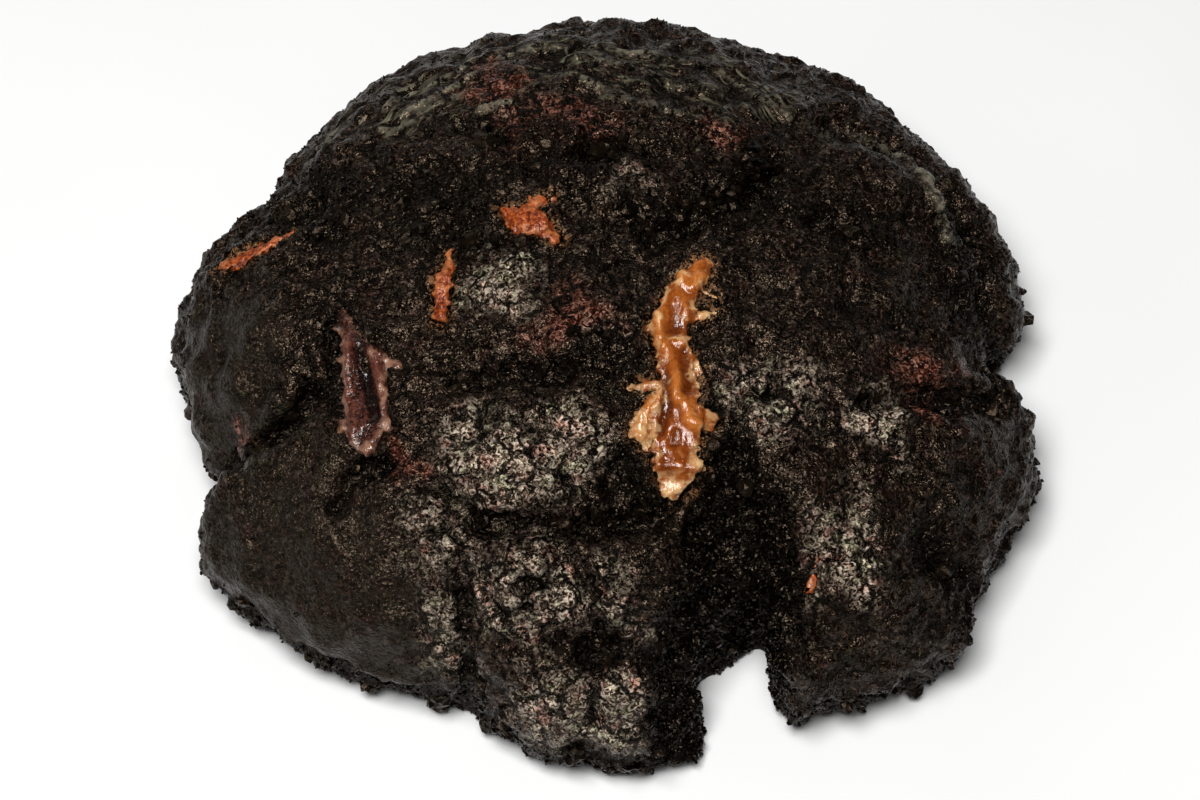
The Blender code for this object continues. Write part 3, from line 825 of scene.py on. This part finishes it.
def crust_material():
    n = Nodes("baked_crust")
    hollow_shade, torn, matte = n.painted("hollow_shade"), n.painted("torn"), n.painted("matte")
    glisten, reddish, streaks = n.painted("glisten"), n.painted("reddish"), n.painted("streaks")
    loose_and_shaded = n.math("MAXIMUM", torn, n.painted("crumbly_and_shaded"))
    grain = n.noise(0.40, 0.8, 0.5, 0.4)
    flakes = n.noise(0.60, 1.6, 0.55, 1.2)
    tints = n.ramp(
        n.noise(2.2, 3, 0.6),
        (0.36, (0.93, 1.00, 0.78)), (0.46, (1.00, 0.94, 0.85)),
        (0.56, (1.00, 0.88, 0.82)), (0.68, (1.10, 0.64, 0.56)),
    )
    # The light flakes of these ramps are painted glints: faint on the plain crust, strong in the glistening
    # places.
    plain = n.ramp(
        flakes,
        (0.36, (0.0020, 0.0007, 0.0003)), (0.50, (0.0060, 0.0026, 0.0015)),
        (0.57, (0.0130, 0.0068, 0.0044)), (0.64, (0.0340, 0.0230, 0.0170)),
        (0.73, (0.0950, 0.0720, 0.0600)),
    )
    painted_glints = n.ramp(
        flakes,
        (0.36, (0.0060, 0.0024, 0.0014)), (0.43, (0.0520, 0.0380, 0.0270)), (0.49, (0.1400, 0.1150, 0.0910)),
        (0.55, (0.2900, 0.2530, 0.2120)), (0.64, (0.5600, 0.5150, 0.4600)),
    )
    dusty = n.ramp(
        flakes,
        (0.34, (0.0050, 0.0034, 0.0022)), (0.48, (0.0140, 0.0108, 0.0080)),
        (0.58, (0.0230, 0.0185, 0.0145)), (0.72, (0.0500, 0.0430, 0.0360)),
    )
    glint_patches = n.spread(n.noise(3.0, 3, 0.6), 0.32, 0.64, 0.35, 1.1)
    colour = n.blend(n.math("MULTIPLY", n.spread(glisten, 0, 1, 0.05, 1.0), glint_patches), plain, painted_glints)
    colour = n.blend(n.math("MULTIPLY", matte, 0.9), colour, dusty)
    colour = n.blend(0.85, colour, tints, "MULTIPLY")
    red = n.ramp(
        flakes,
        (0.36, (0.0100, 0.0018, 0.0010)), (0.50, (0.0600, 0.0165, 0.0095)), (0.66, (0.2600, 0.1300, 0.0950)),
    )
    reddened = n.math("MULTIPLY", reddish, n.spread(n.noise(3.2, 3, 0.6), 0.36, 0.54, 0.3, 1.0))
    colour = n.blend(reddened, colour, red)
    # Painted highlights: pale streaks along the arcs of the back plate.
    drawn = n.noise(0.55, 2, 0.6, 0.3, n.arcs(0.09))
    painted_streak_highlights = n.spread(drawn, 0.53, 0.62)
    painted_streak_highlights = n.math("MULTIPLY", painted_streak_highlights, n.spread(n.noise(3.5, 2, 0.5), 0.42, 0.56))
    colour = n.blend(n.math("MULTIPLY", painted_streak_highlights, streaks), colour, (0.1300, 0.1240, 0.0850))
    # Painted highlights: the folds are pale.
    painted_fold_highlight = n.math("MULTIPLY", n.painted("fold"), n.spread(n.noise(1.0, 2, 0.5), 0.40, 0.56, 0.2, 1.2))
    colour = n.blend(n.math("MINIMUM", painted_fold_highlight, 0.8), colour, (0.1900, 0.1750, 0.1300))
    beside = n.math("MULTIPLY", n.painted("beside"), n.spread(flakes, 0.46, 0.56))
    colour = n.blend(n.math("MULTIPLY", beside, 0.75), colour, (0.2300, 0.1200, 0.0550))
    # Dark crumb colour: the crumb's own colour where it lies bare, and painted shade on the crumbly places,
    # valleys and low sides.
    crumb = n.ramp(
        n.noise(0.7, 3, 0.6),
        (0.40, (0.0005, 0.0003, 0.0002)), (0.60, (0.0022, 0.0012, 0.0008)), (0.78, (0.0100, 0.0066, 0.0046)),
    )
    bare_and_shaded = n.math("MULTIPLY", loose_and_shaded, n.spread(n.painted("beside"), 0, 1, 0.85, 0.2))
    colour = n.blend(bare_and_shaded, colour, crumb)
    shift = n.ramp(n.noise(0.9, 2, 0.5), (0.3, (0, 0, 0)), (0.7, (1.2, 1.2, 1.2)))
    pits = n.spread(n.cells(1.4, n.added(n.stretched((1.0, 1.5, 1.5), 0.5), shift)), 0.30, 0.18)
    pits = n.math("MULTIPLY", pits, n.spread(n.noise(2.2, 2, 0.5), 0.44, 0.50))
    cracks = n.spread(n.crack_lines(3.4, 0.9), 0.085, 0.030)
    cracks = n.math("MULTIPLY", cracks, n.spread(n.noise(3.0, 2, 0.5), 0.44, 0.53))
    cracks = n.math("MULTIPLY", cracks, n.spread(matte, 0, 1, 1.0, 0.4))
    openings = n.math("MAXIMUM", pits, cracks)
    # Painted shade: pits and cracks are made near black.
    colour = n.blend(openings, colour, PAINTED_PIT_SHADE)
    # Painted shade: near black where the crust is hollow, in pockets and valleys and near the table.
    colour = n.blend(n.spread(hollow_shade, 0.40, 0.85), colour, PAINTED_HOLLOW_SHADE)
    n.link(colour, n.shader.inputs["Base Color"])
    rough = n.spread(n.noise(1.1, 3, 0.7), 0.35, 0.68, 0.13, 0.26)
    rough = n.math("ADD", rough, n.math("MULTIPLY", matte, 0.12))
    rough = n.math("ADD", rough, n.math("MULTIPLY", loose_and_shaded, 0.06))
    rough = n.math("ADD", rough, n.math("MULTIPLY", openings, 0.15))
    rough = n.math("ADD", rough, n.spread(hollow_shade, 0.45, 0.80, 0.0, 0.12))
    n.link(rough, n.shader.inputs["Roughness"])
    n.shader.inputs["IOR"].default_value = 1.33
    n.shader.inputs["Specular Tint"].default_value = WARM_SHINE
    gritty = n.math("MULTIPLY", n.spread(matte, 0, 1, 1.0, 1.2), n.spread(streaks, 0, 1, 1.0, 0.45))
    normal = n.bump(grain, 0.22, gritty)
    normal = n.bump(n.noise(1.4, 1, 0.5), 0.35, n.spread(matte, 0, 1, 0.9, 0.6), normal)
    normal = n.bump(n.math("SUBTRACT", 1.0, openings), 0.25, 1.0, normal)
    arched = n.math("MAXIMUM", streaks, n.math("MULTIPLY", n.painted("smooth"), 0.5))
    normal = n.bump(drawn, 0.30, arched, normal)
    n.link(normal, n.shader.inputs["Normal"])
    return n.material


def crumb_material(name, dark, light, roughness):
    n = Nodes(name)
    shade = n.painted("shade")
    mixed = n.math("ADD", n.math("MULTIPLY", shade, 0.6), n.math("MULTIPLY", n.noise(0.5, 3, 0.6), 0.4))
    n.link(n.ramp(mixed, (0.25, dark), (0.8, light)), n.shader.inputs["Base Color"])
    rough = n.spread(n.noise(0.6, 3, 0.6), 0.3, 0.7, roughness - 0.12, roughness + 0.15)
    n.link(rough, n.shader.inputs["Roughness"])
    n.shader.inputs["IOR"].default_value = 1.36
    n.shader.inputs["Specular Tint"].default_value = WARM_SHINE
    n.link(n.bump(n.noise(0.25, 3, 0.6), 0.10, 0.8), n.shader.inputs["Normal"])
    return n.material


def chocolate_material(name, deep, body, pale, edge_colour, roughness, grainy):
    n = Nodes(name)
    ridge_shading, edge, pale_edge = n.painted("ridge_shading"), n.painted("edge"), n.painted("pale")
    drawn = n.noise(1.5, 4, 0.6, 0.8, n.stretched((1.0, 0.4, 0.4)))
    grain = n.noise(0.45, 2, 0.6, 0.5)
    # Painted highlight and shade: paler where the ridges stand out, darker in grooves, with random drawn and
    # grainy tone.
    tone = n.math("ADD", n.math("MULTIPLY", ridge_shading, 0.6), n.math("MULTIPLY", drawn, 0.4))
    tone = n.math("ADD", tone, n.spread(grain, 0.3, 0.7, -0.45 * grainy, 0.45 * grainy))
    colour = n.ramp(tone, (0.22, deep), (0.5, body), (0.85, pale))
    crumbs = n.spread(n.noise(0.5, 3, 0.7), 0.46, 0.60)
    patchy = n.spread(n.noise(1.6, 3, 0.6), 0.45, 0.57, 0.05, 1.0)
    frayed = n.math("MULTIPLY", n.spread(pale_edge, 0.25, 0.80), patchy)
    colour = n.blend(n.math("MULTIPLY", frayed, 0.5), colour, edge_colour)
    # Cream where the chip is thin, and as painted highlights on some folds.
    thin_and_highlit = n.spread(n.noise(0.8, 3, 0.6), 0.40, 0.58, 0.35, 1.0)
    thin_and_highlit = n.math("MULTIPLY", n.spread(n.painted("cream"), 0.1, 1.0, 0.0, 0.8), thin_and_highlit)
    colour = n.blend(thin_and_highlit, colour, edge_colour)
    colour = n.blend(n.math("MULTIPLY", n.spread(edge, 0.65, 1.0), crumbs), colour, (0.012, 0.008, 0.006))
    n.link(colour, n.shader.inputs["Base Color"])
    rough = n.spread(n.noise(1.2, 3, 0.6), 0.35, 0.65, roughness - 0.05, roughness + 0.12)
    n.link(n.math("ADD", rough, n.math("MULTIPLY", edge, 0.15)), n.shader.inputs["Roughness"])
    n.shader.inputs["IOR"].default_value = 1.5
    soft = n.bump(drawn, 0.40, 0.6)
    fine = n.bump(grain, 0.16, n.spread(edge, 0.2, 1.0, 0.12 + 0.8 * grainy, 1.0), soft)
    n.link(fine, n.shader.inputs["Normal"])
    return n.material


def floor_material():
    n = Nodes("white_table")
    faint = n.ramp(n.noise(60, 2, 0.5), (0.3, (0.69, 0.69, 0.688)), (0.7, (0.71, 0.71, 0.708)))
    n.link(faint, n.shader.inputs["Base Color"])
    n.shader.inputs["Roughness"].default_value = 0.6
    return n.material


# The room


def make_floor():
    shape = bmesh.new()
    bmesh.ops.create_grid(shape, x_segments=4, y_segments=4, size=3.0)
    mesh = bpy.data.meshes.new("table")
    shape.to_mesh(mesh)
    shape.free()
    floor = bpy.data.objects.new("table", mesh)
    bpy.context.scene.collection.objects.link(floor)
    mesh.materials.append(floor_material())


# Lights: place, width and depth in metres, and power in watts
LIGHTS = {
    "window": ((-0.12, -0.24, 0.95), (0.50, 0.40), 14.0),
    "left_screen": ((-0.85, -0.20, 0.50), (0.6, 0.5), 0.5),
    "back_panel": ((-0.15, 0.95, 0.50), (0.9, 0.22), 1.3),
}
LIGHT_AIM = Vector((0, 0, 0.02))
ROOM_COLOUR = (1.0, 0.99, 0.97, 1)
ROOM_STRENGTH = 0.05


def make_lights():
    world = bpy.data.worlds.new("room")
    bpy.context.scene.world = world
    world.use_nodes = True
    background = world.node_tree.nodes["Background"]
    background.inputs["Color"].default_value = ROOM_COLOUR
    background.inputs["Strength"].default_value = ROOM_STRENGTH
    for name, (place, size, power) in LIGHTS.items():
        data = bpy.data.lights.new(name, "AREA")
        data.shape = "RECTANGLE"
        data.size, data.size_y = size
        data.energy = power
        light = bpy.data.objects.new(name, data)
        light.location = place
        light.rotation_euler = (LIGHT_AIM - Vector(place)).to_track_quat("-Z", "Y").to_euler()
        bpy.context.scene.collection.objects.link(light)


CAMERA_ELEVATION = math.radians(60)
CAMERA_DISTANCE = 0.50
CAMERA_WIDTH = 0.1474  # how much the picture takes in at that distance
CAMERA_AIM = Vector((-0.0002, -0.00335, 0.012))
SENSOR_WIDTH = 36
VIEW_GAMMA = 0.85


def make_camera():
    data = bpy.data.cameras.new("camera")
    data.sensor_fit = "HORIZONTAL"
    data.sensor_width = SENSOR_WIDTH
    data.lens = SENSOR_WIDTH * CAMERA_DISTANCE / CAMERA_WIDTH
    data.clip_start = 0.01
    camera = bpy.data.objects.new("camera", data)
    back = Vector((0, -math.cos(CAMERA_ELEVATION), math.sin(CAMERA_ELEVATION)))
    camera.location = CAMERA_AIM + back * CAMERA_DISTANCE
    camera.rotation_euler = back.to_track_quat("Z", "Y").to_euler()
    bpy.context.scene.collection.objects.link(camera)
    bpy.context.scene.camera = camera
    view = bpy.context.scene.view_settings
    view.view_transform = "Standard"
    view.gamma = VIEW_GAMMA


# The whole cookie


# Melted chocolates: deep, body, pale and edge colour, then roughness and graininess
# Deep and pale are painted shade in the grooves and painted highlight on the raised folds.
CHOCOLATES = {
    "melted_milk_chocolate": (
        (0.085, 0.017, 0.002), (0.215, 0.054, 0.007), (0.430, 0.155, 0.034), (0.62, 0.42, 0.22),
        0.15, 0.22,
    ),
    "melted_brown_chocolate": (
        (0.080, 0.011, 0.002), (0.240, 0.045, 0.007), (0.420, 0.120, 0.030), (0.48, 0.20, 0.08),
        0.26, 0.9,
    ),
    "melted_dark_chocolate": (
        (0.006, 0.0022, 0.0018), (0.036, 0.0110, 0.0065), (0.120, 0.042, 0.027), (0.32, 0.18, 0.12),
        0.18, 0.7,
    ),
}
# Chips: their chocolate, their slot and the height of their soft ridges in mm
CHIPS = {
    "chip_long": ("melted_milk_chocolate", "milk_chocolate", 0.35),
    "chip_back": ("melted_brown_chocolate", "milk_chocolate", 0.25),
    "chip_slim": ("melted_brown_chocolate", "milk_chocolate", 0.22),
    "chip_edge": ("melted_brown_chocolate", "milk_chocolate", 0.25),
    "chip_front": ("melted_brown_chocolate", "milk_chocolate", 0.22),
    "chip_dark": ("melted_dark_chocolate", "dark_milk_chocolate", 0.35),
}
# Loose crumbs: dark and light colour, roughness, how many, smallest and largest size in mm, how much
# of each lies in the crust, and the subdivisions of its ball, where 0 stands for eight faces
CRUMBS = {
    "torn_crumbs": ((0.0004, 0.0003, 0.0002), (0.0018, 0.0013, 0.0010), 0.14, 8000, (0.25, 0.9), 0.40, 1),
    "crust_crumbs": ((0.0008, 0.0005, 0.0004), (0.0180, 0.0120, 0.0075), 0.22, 18000, (0.20, 0.60), 0.42, 0),
    "rim_crumbs": ((0.0008, 0.0005, 0.0004), (0.0140, 0.0090, 0.0055), 0.24, 700, (0.7, 2.2), 0.45, 2),
}


def attribute_values(mesh, name):
    values = np.empty(len(mesh.vertices), dtype=np.float32)
    mesh.attributes[name].data.foreach_get("value", values)
    return values


def crumb_densities(mesh):
    """How thickly each kind of crumb lies at every point of the crust."""
    names = ("torn", "crumbly_and_shaded", "matte", "glisten", "streaks")
    torn, crumbly_and_shaded, matte, glisten, streaks = (attribute_values(mesh, name) for name in names)
    loose_and_shaded = np.maximum(torn, crumbly_and_shaded)
    places = places_of(mesh)
    off_table = step(OFF_TABLE, 1.0 * MM, places[:, 2])
    away = chip_away(plan_mm(places))
    off_chips = step(-0.3, 0.4, away)
    chip_rim = 1 - step(0.3, 1.2, np.abs(away - 0.5))
    baked = (0.25 + loose_and_shaded) * (1 - torn) * (1 - 0.95 * matte) * (1 - 0.5 * glisten) * (1 - 0.8 * streaks)
    return {
        "torn_crumbs": (torn + 0.25 * loose_and_shaded) * off_table * off_chips,
        "crust_crumbs": (baked + 1.5 * chip_rim) * off_table * off_chips,
        "rim_crumbs": loose_and_shaded * (1 - 0.8 * torn) * off_table * off_chips,
    }


def solids_tree():
    """The CAD cookie and chips as one tree, to find the crust from above."""
    verts, faces = [], []
    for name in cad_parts:
        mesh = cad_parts[name].data
        first = len(verts)
        verts += [vertex.co.copy() for vertex in mesh.vertices]
        faces += [tuple(first + index for index in face.vertices) for face in mesh.polygons]
    return BVHTree.FromPolygons(verts, faces)


def main():
    make_camera()
    make_lights()
    make_floor()
    crust_tree = solids_tree()
    crust = make_crust(crust_material())
    chocolates = {name: chocolate_material(name, *values) for name, values in CHOCOLATES.items()}
    for node, (chocolate, slot_name, wave) in CHIPS.items():
        make_chip(node, crust_tree, chocolates[chocolate], wave)
    densities = crumb_densities(crust.data)
    for index, (name, (dark, light, roughness, *build)) in enumerate(CRUMBS.items(), start=1):
        material = crumb_material(name.removesuffix("s"), dark, light, roughness)
        make_grains(name, crust, material, densities[name], SEED + index, *build)


main()
